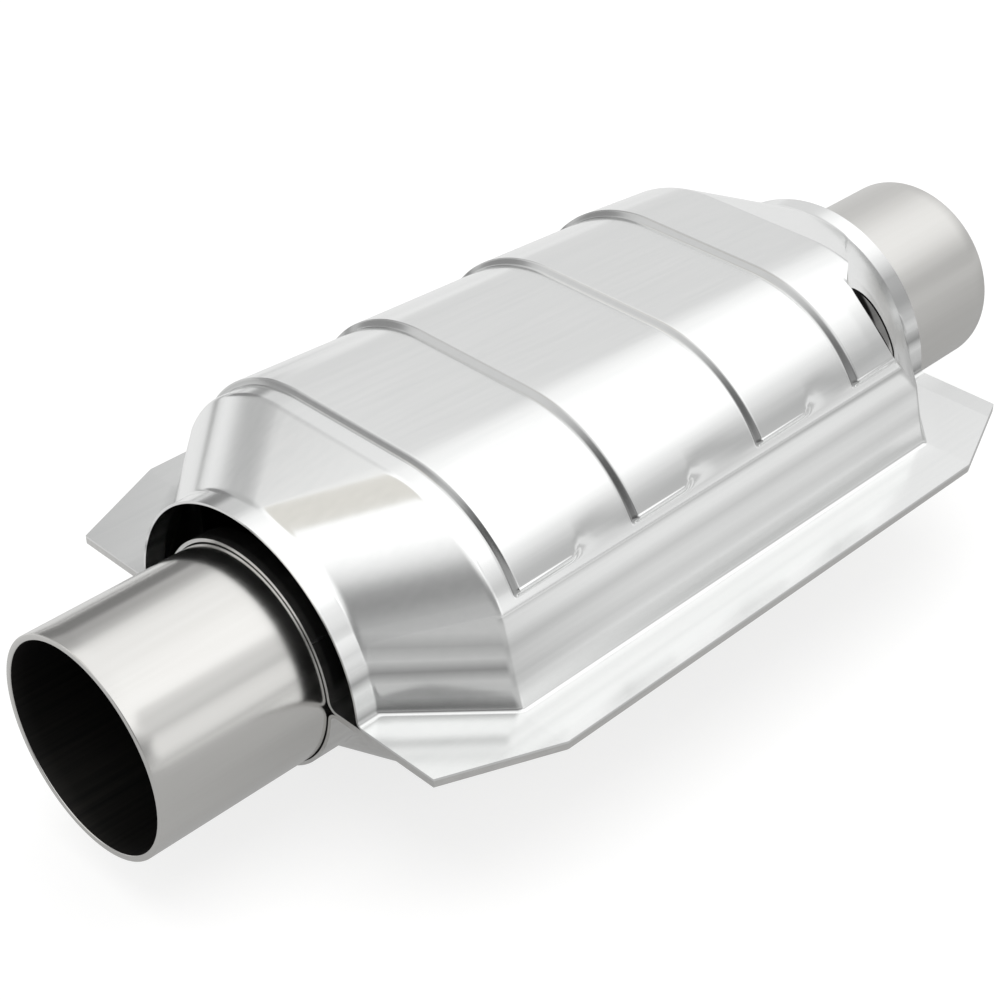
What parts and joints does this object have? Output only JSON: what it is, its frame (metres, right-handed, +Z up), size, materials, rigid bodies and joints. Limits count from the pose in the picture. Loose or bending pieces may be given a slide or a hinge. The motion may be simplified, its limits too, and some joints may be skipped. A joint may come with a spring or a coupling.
{
  "type": "catalytic converter",
  "caption": "Oval universal-fit catalytic converter with a stepped heat shield over a flanged clamshell body and a plain pipe stub at each end.",
  "frame": {"origin": "centre of the inlet pipe's mouth, on the common axis of both pipes", "axes": "+X along the gas flow, from the inlet to the outlet; +Z up, through the heat shield; the flange lies in the XY plane"},
  "size_m": [0.3429, 0.1686, 0.0993],
  "materials": {
    "pipe_steel": "satin stainless tube with fine lengthwise brushing",
    "shell_steel": "bright rolled stainless sheet, pressed",
    "shield_steel": "bright mirror-like stainless sheet, pressed, with faint drawing streaks",
    "weld_steel": "matt weld metal",
    "ceramic": "porous honeycomb ceramic with washcoat",
    "mat_fibre": "compressed fibre mat",
    "seal_wire": "knitted stainless wire"
  },
  "bodies": {
    "root": {"inlet_pipe": "pipe_steel", "outlet_pipe": "pipe_steel", "inlet_weld_bead": "weld_steel", "outlet_weld_bead": "weld_steel", "upper_shell": "shell_steel", "lower_shell": "shell_steel", "upper_heat_shield": "shield_steel", "front_monolith": "ceramic", "rear_monolith": "ceramic", "front_mat": "mat_fibre", "rear_mat": "mat_fibre", "front_outer_seal": "seal_wire", "front_inner_seal": "seal_wire", "rear_inner_seal": "seal_wire", "rear_outer_seal": "seal_wire"}
  },
  "joints": []
}
